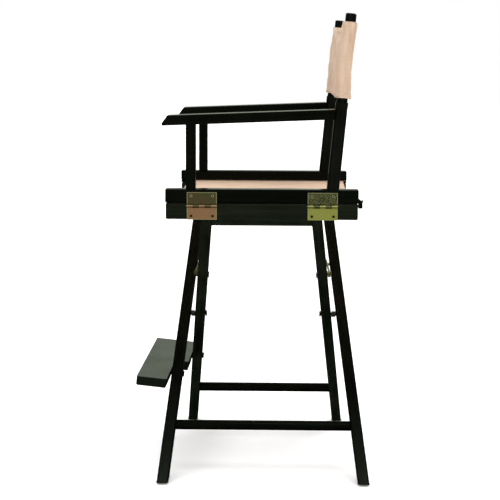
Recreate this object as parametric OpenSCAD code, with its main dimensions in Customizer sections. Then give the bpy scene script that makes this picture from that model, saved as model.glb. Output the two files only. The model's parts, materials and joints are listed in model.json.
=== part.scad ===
// Folding director chair at counter height, with a footrest board.
// Millimetres. +Z up, +X towards the sitter's left, -Y towards the front.
// The origin is on the floor, under the middle of the chair's outline.

/* [Seat] */
// Distance between the outer faces of the two seat rails
rail_span = 524; // [500:1:560]
// Length of a seat rail, front to back
rail_length = 394; // [380:1:410]
// Thickness of a rail across the chair
rail_thick = 34; // [32:1:38]
// Height of the upper seat rail
upper_rail_high = 28; // [26:1:32]
// Height of the lower rail, which the legs carry
lower_rail_high = 33; // [30:1:34]
// Height of the top of the seat rails above the floor
seat_top = 616; // [600:1:640]
// Depth of the seat canvas, front to back
seat_canvas_deep = 371; // [340:1:376]
// How far the middle of the seat canvas hangs below its edges
seat_sag = 7; // [2:1:12]

/* [Arms and back] */
// Width of an armrest
arm_wide = 56; // [50:1:60]
// Thickness of an armrest
arm_thick = 20; // [18:1:24]
// How far an armrest stands out past its seat rail
arm_overhang = 18; // [10:1:24]
// Height of the armrest's underside at the front post
arm_high = 747.5; // [730:0.5:760]
// Rise of the armrest towards the back
arm_rise = 2.25; // [0:0.05:4]
// Side of the front post, front to back
front_post_deep = 20; // [18:1:26]
// Side of the square back post
back_post_side = 25; // [23:1:28]
// Lean of the back post
back_lean = 5.3; // [2:0.1:8]
// Diameter of the round upper end of the back post
back_pole_d = 22; // [18:0.5:23]
// Height of the top of the chair
total_high = 971.5; // [960:0.5:990]
// Height of the back canvas along the poles
back_canvas_high = 152.5; // [130:0.5:156]

/* [Legs] */
// Height of the pivot where the two leg frames cross
pivot_high = 313; // [305:1:320]
// Angle of each leg from upright, seen from the front
leg_angle = 40.2; // [38:0.1:42]
// Width of a leg in its own frame
leg_wide = 32; // [28:1:34]
// Thickness of an outer leg
outer_leg_thick = 24; // [20:0.5:25]
// Thickness of an inner leg
inner_leg_thick = 22; // [18:0.5:23]
// Diameter of the low stretchers
stretcher_d = 21; // [18:1:24]
// Height of the low stretchers
stretcher_high = 102.5; // [90:0.5:140]

/* [Footrest] */
// Length of the footrest board
footrest_long = 414; // [380:1:420]
// Depth of the board where it meets the inner leg
footrest_deep = 94; // [80:1:100]
// Thickness of the board
footrest_thick = 20; // [16:1:22]
// Height of the middle of the board's back edge
footrest_high = 197; // [190:1:205]

/* [Hardware] */
// Width of a butt hinge
hinge_wide = 61; // [50:1:64]
// Height of one hinge leaf, from the pin's axis to its edge
hinge_leaf_high = 28; // [24:0.5:29]
// Thickness of a hinge leaf
hinge_thick = 1.6; // [1.2:0.1:2]
// Diameter of the leg pivot bolts
pivot_bolt_d = 8; // [6:0.5:9]
// Diameter of the foot glides
glide_d = 27; // [22:1:28]

/* [Hidden] */

lacquer = "#0b0c0a";
zinc = "#a08a52";
steel = "#77776c";
canvas = "#dcbf9f";
wood = "#b98d5c";

// The outline's middle lies this far in front of the middle of the seat rails
centre_y = 17.45;
play = 0.05;
big = 1200;

rail_x = rail_span / 2;
rail_inner_x = rail_x - rail_thick;
upper_rail_z = seat_top - upper_rail_high;
seam = 0.6;
lower_rail_top = upper_rail_z - seam;
lower_rail_z = lower_rail_top - lower_rail_high;
leg_top_z = lower_rail_top - 4.4;

// Hinges lie flat on the rails' outer faces, with the pin just below the seam
knuckle_r = 3.2;
hinge_pin_r = 1.6;
hinge_x = rail_x + knuckle_r;
hinge_z = lower_rail_top - 5.4;
hinge_y = [-122, 124];
knuckles = 5;
knuckle_w = hinge_wide / knuckles;
screw_head_r = 2.9;

// Each pair of legs lies in its own leaning plane; a foot's y is where that plane meets the floor
front_slope = 0.102;
rear_slope = 0.1225;
front_lean = atan(front_slope);
rear_lean = atan(rear_slope);
outer_front_y = -204.3;
inner_front_y = -171.3;
outer_rear_y = 215.6;
inner_rear_y = 181.4;
foot_z = 4.6;
// How far the flat underside of a glide stops short of its rim
glide_edge = 2;

function leg_x(z) = (pivot_high - z) * tan(leg_angle);
function front_y(foot_y, z) = foot_y + front_slope * z;
function rear_y(foot_y, z) = foot_y - rear_slope * z;
// Distance front to back between the middle planes of the two legs of a pair
function leg_step(rear) = rear ? outer_rear_y - inner_rear_y : inner_front_y - outer_front_y;

// Lock straps lie in the gap between the legs of a pair, above the pivot
strap_z = 415;
strap_x = -leg_x(strap_z);
strap_reach = 2 * strap_x;
strap_high = 15;
strap_thick = 2.5;
strap_bolt_r = 3;
// Gap between the inner leg's face and the strap
strap_gap = 4;

// The footrest board hangs on the two front legs' forward faces
footrest_bolt_x = leg_x(footrest_high);
footrest_bolt_r = 4;
footrest_yaw = -1.2;
footrest_near_x = 217;
footrest_narrow = 63.6;
footrest_step_x = 28;
// The notch over the far bolt: its half width, its depth, its reach and its upper corner
notch_r = 4.4;
notch_low = -20;
notch_reach = 36;
notch_corner = [5.2, 2.6];

// A rod with flat ends along +Z, with rounded long edges, its middle on the axis
module rounded_bar(size_x, size_y, size_z, r) {
    linear_extrude(size_z) rounded_plate(size_x, size_y, r);
}

module rounded_plate(size_x, size_y, r) {
    square([size_x - 2 * r, size_y], center = true);
    square([size_x, size_y - 2 * r], center = true);
    for (sx = [-1, 1], sy = [-1, 1])
        translate([sx * (size_x / 2 - r), sy * (size_y / 2 - r)]) circle(r = r, $fn = 32);
}

module rod_y(r, from_y, to_y, fn = 48) {
    translate([0, to_y, 0]) rotate([90, 0, 0]) cylinder(r = r, h = to_y - from_y, $fn = fn);
}

// Stands its children in the chair's frame, whose y is measured from the rails' middle
module placed() {
    translate([0, centre_y, 0]) children();
}

// Mirrors a left-hand piece to the side named by s: 1 left, -1 right
module on_side(s) {
    if (s > 0) children();
    else mirror([1, 0, 0]) children();
}

// ---- Leg frames ----

// Puts the pivot of a leaning leg plane at the origin, with the plane upright
module in_leg_plane(pivot_y, lean) {
    translate([0, pivot_y, pivot_high]) rotate([lean, 0, 0]) children();
}

module leg_blank(pivot_y, lean, thick, foot_side) {
    in_leg_plane(pivot_y, lean)
        rotate([0, -foot_side * atan(tan(leg_angle) * cos(lean)), 0])
            translate([0, 0, -big / 2]) rounded_bar(leg_wide, thick, big, 3);
}

// Keeps what lies between the floor and the lower rail, and inside the rails' inner faces
module leg_trim() {
    intersection() {
        children();
        translate([-rail_x - 40, -big / 2, foot_z]) cube([2 * rail_x + 80, big, leg_top_z - foot_z]);
        union() {
            translate([-rail_inner_x + 0.2, -big / 2, 0]) cube([2 * rail_inner_x - 0.4, big, big]);
            translate([-rail_x - 60, -big / 2, 0]) cube([2 * rail_x + 120, big, pivot_high]);
        }
    }
}

module bolt_hole_y(x, z, r) {
    translate([x, 0, z]) rod_y(r, -big / 2, big / 2);
}

// A hole square to a leg plane that leans by lean, through the point x, y, z
module bolt_hole(x, y, z, lean, r) {
    translate([x, y, z]) rotate([lean, 0, 0]) rod_y(r, -60, 60);
}

module outer_front_leg() {
    py = front_y(outer_front_y, pivot_high);
    color(lacquer) placed() difference() {
        leg_trim() leg_blank(py, -front_lean, outer_leg_thick, 1);
        bolt_hole_y(0, pivot_high, pivot_bolt_d / 2 + play);
        bolt_hole(-strap_x, front_y(outer_front_y, strap_z), strap_z, -front_lean, strap_bolt_r + play);
        bolt_hole(footrest_bolt_x, front_y(outer_front_y, footrest_high), footrest_high,
            -front_lean, footrest_bolt_r + play);
    }
}

module outer_rear_leg() {
    py = rear_y(outer_rear_y, pivot_high);
    color(lacquer) placed() difference() {
        leg_trim() leg_blank(py, rear_lean, outer_leg_thick, 1);
        bolt_hole_y(0, pivot_high, pivot_bolt_d / 2 + play);
        bolt_hole(-strap_x, rear_y(outer_rear_y, strap_z), strap_z, rear_lean, strap_bolt_r + play);
    }
}

module inner_front_leg() {
    py = front_y(inner_front_y, pivot_high);
    color(lacquer) placed() difference() {
        leg_trim() leg_blank(py, -front_lean, inner_leg_thick, -1);
        bolt_hole_y(0, pivot_high, pivot_bolt_d / 2 + play);
        bolt_hole(strap_x, front_y(inner_front_y, strap_z), strap_z, -front_lean, strap_bolt_r + play);
        bolt_hole(-footrest_bolt_x, front_y(inner_front_y, footrest_high), footrest_high,
            -front_lean, footrest_bolt_r + play);
    }
}

module inner_rear_leg() {
    py = rear_y(inner_rear_y, pivot_high);
    color(lacquer) placed() difference() {
        leg_trim() leg_blank(py, rear_lean, inner_leg_thick, -1);
        bolt_hole_y(0, pivot_high, pivot_bolt_d / 2 + play);
        bolt_hole(strap_x, rear_y(inner_rear_y, strap_z), strap_z, rear_lean, strap_bolt_r + play);
    }
}

// The board between the tops of a frame's legs, lying in the legs' slope against the lower rail
module top_rail(front_foot_y, rear_foot_y, thick, top_side) {
    mid_z = 566;
    board_above = 25;
    board_below = 33;
    board_thick = 20;
    y0 = front_y(front_foot_y, mid_z) + thick / 2 - 6;
    y1 = rear_y(rear_foot_y, mid_z) - thick / 2 + 6;
    difference() {
        leg_trim()
            translate([-top_side * leg_x(mid_z), 0, mid_z]) rotate([0, top_side * leg_angle, 0])
                translate([-board_thick / 2, y0, -board_below])
                    cube([board_thick, y1 - y0, board_above + board_below]);
        leg_blank(front_y(front_foot_y, pivot_high), -front_lean, thick, -top_side);
        leg_blank(rear_y(rear_foot_y, pivot_high), rear_lean, thick, -top_side);
    }
}

module stretcher(front_foot_y, rear_foot_y, thick, foot_side) {
    y0 = front_y(front_foot_y, stretcher_high);
    y1 = rear_y(rear_foot_y, stretcher_high);
    difference() {
        translate([foot_side * leg_x(stretcher_high), 0, stretcher_high]) rod_y(stretcher_d / 2, y0, y1);
        leg_blank(front_y(front_foot_y, pivot_high), -front_lean, thick, foot_side);
        leg_blank(rear_y(rear_foot_y, pivot_high), rear_lean, thick, foot_side);
    }
}

module outer_top_rail() {
    color(lacquer) placed() top_rail(outer_front_y, outer_rear_y, outer_leg_thick, -1);
}

module inner_top_rail() {
    color(lacquer) placed() top_rail(inner_front_y, inner_rear_y, inner_leg_thick, 1);
}

module outer_stretcher() {
    color(lacquer) placed() stretcher(outer_front_y, outer_rear_y, outer_leg_thick, 1);
}

module inner_stretcher() {
    color(lacquer) placed() stretcher(inner_front_y, inner_rear_y, inner_leg_thick, -1);
}

module lower_rail(s) {
    color(lacquer) placed() on_side(s)
        translate([rail_x - rail_thick / 2, rail_length / 2 - 1, lower_rail_z + lower_rail_high / 2])
            rotate([90, 0, 0]) rounded_bar(rail_thick, lower_rail_high, rail_length - 2, 3);
}

// Domed metal discs under the feet of one frame
module glides(front_foot_y, rear_foot_y, foot_side) {
    color(steel) placed() for (y = [front_foot_y, rear_foot_y]) translate([foot_side * leg_x(0), y, 0])
        rotate_extrude($fn = 48) polygon([
            [0, 0], [glide_d / 2 - glide_edge, 0], [glide_d / 2, 1.2],
            [glide_d / 2, 2.2], [glide_d / 2 - 3, foot_z], [0, foot_z]
        ]);
}

// ---- Pivots between the leg frames ----

// Calls its children at a leg pair's pivot with y running from the outer leg towards the inner leg
module at_pivot(rear) {
    placed() {
        if (rear) translate([0, rear_y(outer_rear_y, pivot_high), pivot_high]) mirror([0, 1, 0]) children();
        else translate([0, front_y(outer_front_y, pivot_high), pivot_high]) children();
    }
}

// Room left between a leaning leg face and an upright flange or spacer
lean_gap = 1.2;
// Radii of the washers and bolt heads, the nuts across their corners, and the pegs' heads
washer_r = 6.5;
nut_r = 5.5;
peg_head_r = 5;
peg_head_thick = 1.4;
// How far a bolt head or washer stands off a leg's face
face_gap = 0.5;
// Distances from the inner leg's face to the ends of the strap's washer and nut
washer_end = 3.6;
nut_from = 6.9;
nut_end = 9.2;

module pivot_bolts() {
    color(lacquer) for (rear = [false, true]) at_pivot(rear) {
        shank_end = leg_step(rear) + inner_leg_thick / 2 + lean_gap;
        rod_y(pivot_bolt_d / 2, -outer_leg_thick / 2 + 1, shank_end);
        rod_y(washer_r + 0.5, shank_end, shank_end + 2);
        rod_y(nut_r, shank_end + 2, shank_end + 3);
    }
}

module pivot_spacers() {
    color(steel) for (rear = [false, true]) at_pivot(rear) difference() {
        rod_y(washer_r, outer_leg_thick / 2 + lean_gap, leg_step(rear) - inner_leg_thick / 2 - lean_gap);
        rod_y(pivot_bolt_d / 2 + play, 0, leg_step(rear));
    }
}

// Calls its children at a point of a leg's middle plane, with y square to that plane, towards the inside
module square_to_leg(x, foot_y, z, rear) {
    placed() {
        if (rear)
            translate([x, rear_y(foot_y, z), z]) rotate([rear_lean, 0, 0]) mirror([0, 1, 0]) children();
        else translate([x, front_y(foot_y, z), z]) rotate([-front_lean, 0, 0]) children();
    }
}

// Distance from the outer leg's middle plane to the inside of the strap, with a little room
function peg_head_from(rear) = leg_step(rear) * cos(rear ? rear_lean : front_lean)
    - inner_leg_thick / 2 - strap_gap + 0.4;

// Headed pegs on the outer legs, over which the straps hook
module strap_pegs() {
    color(zinc) for (rear = [false, true])
        square_to_leg(-strap_x, rear ? outer_rear_y : outer_front_y, strap_z, rear) {
            rod_y(strap_bolt_r, -outer_leg_thick / 2 + 1, peg_head_from(rear));
            rod_y(peg_head_r, peg_head_from(rear), peg_head_from(rear) + peg_head_thick);
        }
}

// Bolts through the inner legs, which the straps turn on
module strap_bolts() {
    color(zinc) for (rear = [false, true])
        square_to_leg(strap_x, rear ? inner_rear_y : inner_front_y, strap_z, rear) {
            rod_y(strap_bolt_r, -inner_leg_thick / 2 - nut_end + 0.2, inner_leg_thick / 2 + face_gap);
            rod_y(washer_r, inner_leg_thick / 2 + face_gap, inner_leg_thick / 2 + face_gap + 2);
        }
}

// A washer and a hexagon nut on each side of the strap, on the strap's bolt
module strap_nuts() {
    color(zinc) for (rear = [false, true])
        square_to_leg(strap_x, rear ? inner_rear_y : inner_front_y, strap_z, rear) difference() {
            union() {
                rod_y(washer_r, -inner_leg_thick / 2 - washer_end, -inner_leg_thick / 2 - face_gap);
                rod_y(nut_r, -inner_leg_thick / 2 - nut_end, -inner_leg_thick / 2 - nut_from, 6);
            }
            rod_y(strap_bolt_r + play, -30, 0);
        }
}

// The strap turns on its bolt, and its far end hooks over the peg from above
module lock_strap(rear) {
    hook_r = strap_bolt_r + 0.4;
    color(zinc) square_to_leg(strap_x, rear ? inner_rear_y : inner_front_y, strap_z, rear)
        translate([0, -inner_leg_thick / 2 - strap_gap, 0]) rotate([90, 0, 0]) linear_extrude(strap_thick)
            difference() {
                union() {
                    circle(d = strap_high, $fn = 48);
                    translate([-strap_reach, -strap_high / 2]) square([strap_reach, strap_high]);
                    translate([-strap_reach, 0]) circle(d = strap_high, $fn = 48);
                }
                circle(r = strap_bolt_r + play, $fn = 48);
                translate([-strap_reach, 0]) circle(r = hook_r, $fn = 48);
                translate([-strap_reach, 0]) polygon([
                    [-hook_r, 0], [-hook_r, -strap_high], [strap_high, -strap_high], [hook_r, 0.5]
                ]);
            }
}

// ---- Arm frames ----

stick_x = rail_inner_x + 10;
stick_z = upper_rail_z + 8;
stick_r = 4.8;
slot_z = upper_rail_z + 3.4;
slot_high = 2.8;
stop_pivot_x = rail_x - 12;
stop_pivot_z = upper_rail_z + 4.5;

// The upper rail, bored for the seat stick, with a slot through which the canvas leaves
module seat_rail(s) {
    color(lacquer) placed() on_side(s) difference() {
        translate([rail_x - rail_thick / 2, rail_length / 2, upper_rail_z + upper_rail_high / 2])
            rotate([90, 0, 0]) rounded_bar(rail_thick, upper_rail_high, rail_length, 2.5);
        translate([stick_x, 0, stick_z]) rod_y(stick_r + 0.9, -big / 2, big / 2);
        translate([rail_inner_x - 5, -big / 2, slot_z]) cube([stick_x - rail_inner_x + 5, big, slot_high]);
        if (s > 0)
            translate([stop_pivot_x, 0, stop_pivot_z]) rod_y(1.7, rail_length / 2 - 16, rail_length / 2 + 5);
    }
}

module seat_stick(s) {
    color(wood) placed() on_side(s) translate([stick_x, 0, stick_z])
        rod_y(stick_r, -seat_canvas_deep / 2, rail_length / 2 - 2);
}

// The stop block's thickness and width, its reach above and below its screw, and its bevelled corner
stop_thick = 7.8;
stop_wide = 26;
stop_inward = 21;
stop_up = 3.5;
stop_down = 14.9;
stop_bevel = [7, 5.8];

// A small block on the left rail's end, turned aside to draw out the seat stick
module stick_stop() {
    color(lacquer) placed() difference() {
        translate([stop_pivot_x, rail_length / 2 + 0.6, stop_pivot_z]) rotate([90, 0, 90])
            translate([0, 0, -stop_inward]) linear_extrude(stop_wide) polygon([
                [0, -stop_down], [stop_thick, -stop_down], [stop_thick, stop_up - stop_bevel.y],
                [stop_thick - stop_bevel.x, stop_up], [0, stop_up]
            ]);
        translate([stop_pivot_x, 0, stop_pivot_z]) rod_y(1.7, rail_length / 2 - 16, rail_length / 2 + 14);
    }
}

module stop_screw() {
    color(steel) placed() translate([stop_pivot_x, 0, stop_pivot_z]) {
        rod_y(1.65, rail_length / 2 - 15, rail_length / 2 + 8.7);
        rod_y(3, rail_length / 2 + 8.7, rail_length / 2 + 10);
    }
}

front_post_y = -145;
front_post_x = rail_x - 15;
arm_inner_x = rail_x + arm_overhang - arm_wide;
arm_front_y = -202;

// A space above the armrest's underside, where the posts end
module above_arm() {
    translate([0, front_post_y, arm_high]) rotate([arm_rise, 0, 0])
        translate([-big / 2, -big / 2, 0]) cube([big, big, 300]);
}

module front_post(s) {
    color(lacquer) placed() on_side(s) difference() {
        translate([front_post_x, front_post_y, seat_top]) rounded_bar(30, front_post_deep, 160, 3);
        above_arm();
    }
}

back_post_z = 628;
back_post_y = 145.6;
shoulder_high = 793;

// Calls its children on the back post's leaning axis, at the height z
module on_back_axis(z) {
    translate([rail_x - back_post_side / 2, back_post_y + (z - back_post_z) * tan(back_lean), z])
        rotate([-back_lean, 0, 0]) children();
}

module back_post(s) {
    shoulder = (shoulder_high - back_post_z) / cos(back_lean);
    top = (total_high - 1 - back_post_z) / cos(back_lean);
    color(lacquer) placed() on_side(s) difference() {
        on_back_axis(back_post_z) {
            translate([0, 0, -40]) rounded_bar(back_post_side, back_post_side, 40 + shoulder, 6);
            translate([0, 0, shoulder]) cylinder(d = back_pole_d, h = top - shoulder - 2, $fn = 48);
            translate([0, 0, top - 2]) cylinder(d1 = back_pole_d, d2 = back_pole_d - 4, h = 2, $fn = 48);
        }
        translate([0, 0, seat_top - 60]) cube([big, big, 120], center = true);
    }
}

// The armrest runs back to the front face of the back post
module armrest(s) {
    color(lacquer) placed() on_side(s) difference() {
        translate([0, front_post_y, arm_high]) rotate([arm_rise, 0, 0])
            translate([arm_inner_x, 0, 0]) rotate([90, 0, 90]) linear_extrude(arm_wide)
                polygon([
                    [arm_front_y - front_post_y, 0], [300, 0], [300, arm_thick],
                    [arm_front_y - front_post_y + 12, arm_thick], [arm_front_y - front_post_y, 5]
                ]);
        on_back_axis(back_post_z)
            translate([-200, -back_post_side / 2 - 0.2, -100]) cube([400, 400, 400]);
        translate([rail_x + arm_overhang - 3, front_post_y, arm_high + 9]) rotate([0, 90, 0])
            cylinder(r = 3.6, h = 10, $fn = 32);
    }
}

module arm_plugs(s) {
    color(lacquer) placed() on_side(s)
        translate([rail_x + arm_overhang - 2.9, front_post_y, arm_high + 9]) rotate([0, 90, 0])
            cylinder(r = 3.5, h = 3.2, $fn = 32);
}

// ---- Hinges ----

// One leaf of a butt hinge, its pin's axis on the Y axis and its plate up; own names its knuckles
module hinge_leaf(own) {
    difference() {
        union() {
            difference() {
                translate([-knuckle_r, -hinge_wide / 2, 0]) cube([hinge_thick, hinge_wide, hinge_leaf_high]);
                for (k = [0 : knuckles - 1]) if (k % 2 != own)
                    translate([-knuckle_r - 1, -hinge_wide / 2 + k * knuckle_w - 0.25, -1])
                        cube([6, knuckle_w + 0.5, knuckle_r + 2]);
            }
            for (k = [0 : knuckles - 1]) if (k % 2 == own) translate([0, -hinge_wide / 2 + k * knuckle_w, 0])
                rod_y(knuckle_r, 0.25, knuckle_w - 0.25);
        }
        rod_y(hinge_pin_r + play, -hinge_wide, hinge_wide);
        for (y = [-1, 1]) translate([-knuckle_r - 1, y * screw_y, screw_up]) rotate([0, 90, 0])
            cylinder(r = screw_head_r + 0.05, h = 6, $fn = 32);
    }
}

screw_y = 22;
screw_up = 20.5;

module at_each_hinge(s) {
    placed() on_side(s) for (y = hinge_y) translate([hinge_x, y, hinge_z]) children();
}

module upper_hinge_leaves(s) {
    color(zinc) at_each_hinge(s) hinge_leaf(1);
}

module lower_hinge_leaves(s) {
    color(zinc) at_each_hinge(s) mirror([0, 0, 1]) hinge_leaf(0);
}

module hinge_pins(s) {
    color(steel) at_each_hinge(s) {
        rod_y(hinge_pin_r, -hinge_wide / 2 - 0.6, hinge_wide / 2 + 0.6);
        rod_y(2.4, -hinge_wide / 2 - 1.6, -hinge_wide / 2 - 0.6);
    }
}

// Flat-headed screws that fill the holes of the leaves: up is 1 for the upper leaves, -1 for the lower
module hinge_screws(s, up) {
    color(zinc) at_each_hinge(s) for (y = [-1, 1])
        translate([-knuckle_r + 0.05, y * screw_y, up * screw_up]) rotate([0, 90, 0]) difference() {
            cylinder(r = screw_head_r, h = hinge_thick + 0.1, $fn = 32);
            for (turn = [0, 90]) rotate([0, 0, turn])
                translate([-2, -0.4, hinge_thick - 0.7]) cube([4, 0.8, 2]);
        }
}

// ---- Footrest ----

// The bolt through the outer front leg, on which the board lifts
module footrest_bolt() {
    color(lacquer) square_to_leg(footrest_bolt_x, outer_front_y, footrest_high, false) {
        rod_y(footrest_bolt_r, -outer_leg_thick / 2 - footrest_hole + 1, outer_leg_thick / 2 + face_gap);
        rod_y(washer_r, outer_leg_thick / 2 + face_gap, outer_leg_thick / 2 + face_gap + 2.5);
    }
}

// The bolt through the inner front leg, on which the board's far end rests
module footrest_peg() {
    color(lacquer) square_to_leg(-footrest_bolt_x, inner_front_y, footrest_high, false) {
        rod_y(footrest_bolt_r, -inner_leg_thick / 2 - notch_deep + 2, inner_leg_thick / 2 + face_gap);
        rod_y(washer_r, inner_leg_thick / 2 + face_gap, inner_leg_thick / 2 + face_gap + 3.5);
    }
}

// The board's outline from above: narrow in front of the outer leg, deep in front of the inner leg
module footrest_outline(far_x, r) {
    translate([far_x + r, 0]) square([footrest_long - 2 * r, footrest_narrow]);
    translate([far_x, r]) square([footrest_long, footrest_narrow - 2 * r]);
    translate([far_x, r]) square([footrest_step_x - far_x, footrest_deep - 2 * r]);
    translate([far_x + r, 0]) square([footrest_step_x - far_x - 2 * r, footrest_deep]);
    corners = [
        [far_x + r, r], [footrest_near_x - r, r], [footrest_near_x - r, footrest_narrow - r],
        [far_x + r, footrest_deep - r], [footrest_step_x - r, footrest_deep - r]
    ];
    for (p = corners) translate(p) circle(r = r, $fn = 32);
}

// How deep the bolts' holes reach into the board, from the legs' faces
footrest_hole = 23;
notch_deep = 16;
// Room between the board's back edge and the inner leg
board_gap = 0.8;

module footrest() {
    far_x = footrest_near_x - footrest_long;
    bolt_y = front_y(outer_front_y, footrest_high);
    notch_y = front_y(inner_front_y, footrest_high);
    leg_face = notch_y - inner_leg_thick / 2 - board_gap;
    color(lacquer) placed() difference() {
        translate([-footrest_bolt_x, leg_face, footrest_high]) rotate([-front_lean, 0, footrest_yaw])
            translate([footrest_bolt_x, -footrest_deep, -footrest_thick / 2])
                linear_extrude(footrest_thick) footrest_outline(far_x, 4);
        translate([footrest_bolt_x, bolt_y, footrest_high]) rotate([-front_lean, 0, 0])
            rod_y(footrest_bolt_r + play, -outer_leg_thick / 2 - footrest_hole, 0);
        translate([-footrest_bolt_x, notch_y, footrest_high]) rotate([-front_lean, 0, 0]) {
            rod_y(notch_r, -inner_leg_thick / 2 - notch_deep, 0);
            rotate([90, 0, 0]) linear_extrude(inner_leg_thick / 2 + notch_deep)
                polygon([[-notch_r, 0], [-notch_r, notch_low], [notch_reach, notch_low], notch_corner]);
        }
    }
}

// ---- Canvas ----

seat_canvas_thick = 1.4;
canvas_steps = 12;

module seat_canvas() {
    half = stick_x - stick_r - 0.4;
    top = [for (i = [0 : canvas_steps]) let (u = 2 * i / canvas_steps - 1)
        [u * half, slot_z + slot_high / 2 + seat_canvas_thick / 2 - seat_sag * (1 - u * u)]];
    bottom = [for (i = [canvas_steps : -1 : 0]) [top[i].x, top[i].y - seat_canvas_thick]];
    color(canvas) placed() translate([0, seat_canvas_deep / 2 + 3, 0]) rotate([90, 0, 0])
        linear_extrude(seat_canvas_deep) polygon(concat(top, bottom));
}

sleeve_r = 13;
sleeve_gap = 0.6;
back_canvas_from = 801.4;
back_sag = 9;

module back_canvas() {
    pole_x = rail_x - back_post_side / 2;
    front = [for (i = [0 : canvas_steps]) let (u = 2 * i / canvas_steps - 1)
        [u * pole_x, -sleeve_r + back_sag * (1 - u * u)]];
    rear = [for (i = [canvas_steps : -1 : 0]) [front[i].x, front[i].y + 1.8]];
    color(canvas) placed() translate([-pole_x, 0, 0]) on_back_axis(back_canvas_from) difference() {
        union() {
            for (x = [-pole_x, pole_x]) translate([x, 0, 0])
                cylinder(r = sleeve_r, h = back_canvas_high, $fn = 48);
            linear_extrude(back_canvas_high) polygon(concat(front, rear));
        }
        for (x = [-pole_x, pole_x]) translate([x, 0, -5])
            cylinder(d = back_pole_d + 2 * sleeve_gap, h = back_canvas_high + 10, $fn = 48);
    }
}

outer_front_leg();
outer_rear_leg();
outer_top_rail();
outer_stretcher();
lower_rail(-1);  // right_lower_rail
lower_hinge_leaves(-1);  // right_lower_hinge_leaves
hinge_pins(-1);  // right_hinge_pins
hinge_screws(-1, -1);  // right_lower_screws
glides(outer_front_y, outer_rear_y, 1);  // outer_glides
pivot_bolts();
pivot_spacers();
strap_pegs();
footrest_bolt();
inner_front_leg();
inner_rear_leg();
inner_top_rail();
inner_stretcher();
lower_rail(1);  // left_lower_rail
lower_hinge_leaves(1);  // left_lower_hinge_leaves
hinge_pins(1);  // left_hinge_pins
hinge_screws(1, -1);  // left_lower_screws
glides(inner_front_y, inner_rear_y, -1);  // inner_glides
strap_bolts();
strap_nuts();
footrest_peg();
seat_rail(1);  // left_seat_rail
front_post(1);  // left_front_post
back_post(1);  // left_back_post
armrest(1);  // left_armrest
arm_plugs(1);  // left_arm_plugs
upper_hinge_leaves(1);  // left_upper_hinge_leaves
hinge_screws(1, 1);  // left_upper_screws
seat_stick(1);  // left_seat_stick
stop_screw();  // left_stop_screw
seat_rail(-1);  // right_seat_rail
front_post(-1);  // right_front_post
back_post(-1);  // right_back_post
armrest(-1);  // right_armrest
arm_plugs(-1);  // right_arm_plugs
upper_hinge_leaves(-1);  // right_upper_hinge_leaves
hinge_screws(-1, 1);  // right_upper_screws
seat_stick(-1);  // right_seat_stick
stick_stop();  // left_stick_stop
lock_strap(false);  // front_lock_strap
lock_strap(true);  // rear_lock_strap
footrest();
seat_canvas();
back_canvas();
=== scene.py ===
import json
import math

import bmesh
import bpy
from mathutils import Matrix, Vector, noise

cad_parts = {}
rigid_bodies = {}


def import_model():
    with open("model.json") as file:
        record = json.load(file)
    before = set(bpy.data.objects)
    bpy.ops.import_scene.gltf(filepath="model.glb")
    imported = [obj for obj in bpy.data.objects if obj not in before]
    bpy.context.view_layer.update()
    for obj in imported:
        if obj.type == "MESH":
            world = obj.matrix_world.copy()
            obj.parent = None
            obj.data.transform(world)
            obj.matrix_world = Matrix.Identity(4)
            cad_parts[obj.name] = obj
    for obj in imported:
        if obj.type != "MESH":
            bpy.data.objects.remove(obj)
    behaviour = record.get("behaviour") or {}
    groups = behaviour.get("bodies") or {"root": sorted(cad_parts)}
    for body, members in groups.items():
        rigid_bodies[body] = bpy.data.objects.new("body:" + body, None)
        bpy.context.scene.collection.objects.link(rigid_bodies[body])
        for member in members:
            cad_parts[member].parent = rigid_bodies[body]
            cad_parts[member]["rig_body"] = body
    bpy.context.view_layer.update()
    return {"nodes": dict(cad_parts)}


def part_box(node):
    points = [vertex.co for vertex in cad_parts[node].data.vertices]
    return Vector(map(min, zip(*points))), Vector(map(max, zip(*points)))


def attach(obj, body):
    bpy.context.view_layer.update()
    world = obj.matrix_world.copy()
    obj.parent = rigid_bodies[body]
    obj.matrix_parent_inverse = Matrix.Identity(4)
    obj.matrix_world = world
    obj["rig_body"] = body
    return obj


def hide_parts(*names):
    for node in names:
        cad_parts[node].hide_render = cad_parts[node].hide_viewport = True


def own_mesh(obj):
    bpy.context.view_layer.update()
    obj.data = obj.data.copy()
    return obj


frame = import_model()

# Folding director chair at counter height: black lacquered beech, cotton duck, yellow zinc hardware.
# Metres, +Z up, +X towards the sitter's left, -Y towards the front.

MM = 0.001

# Canvas
DUCK = 0.9 * MM
HEM_THICK = 2.3 * MM
SEAT_HEM = 13 * MM
BACK_HEM = 9 * MM
THREAD = 0.7 * MM
STITCH_LONG = 2.9 * MM
STITCH_PITCH = 4.2 * MM

# How finely the sheets are divided, across the chair and from hem to hem
SEAT_COLUMNS, SEAT_ROWS = 64, 44
BACK_COLUMNS, BACK_ROWS = 72, 24
# A sleeve's steps along its front, round the pole, and back to the seam
SLEEVE_FRONT_STEPS, SLEEVE_TURN_STEPS, SLEEVE_BACK_STEPS = 6, 22, 7
SETTLE_FRAMES = 24

# Edges count as corners above one angle, and facets as one flat face below the other
CORNER_ANGLE = math.radians(38)
FLAT_ANGLE = math.radians(0.4)

# Back poles and the sleeves on them
POLE_LEAN = math.radians(5.3)
CAD_SLEEVE_R = 13 * MM
SLEEVE_R = 12.3 * MM
SEAM_FROM_POLE = 30 * MM
SEAM_LAP = 1 * MM
BACK_SAG = 9 * MM
BACK_RIPPLE = 4.5 * MM
BACK_DROP_LIMIT = 5 * MM

# How a sleeve stands off its pole: its folds and where they fade out, its flared lower end, its uneven ends
FOLD_HIGH = 4.6 * MM
FOLD_FADE = 18 * MM
FLARE_WIDE = 0.9 * MM
FLARE_TALL = 9 * MM
RAGGED = 0.8 * MM

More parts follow.
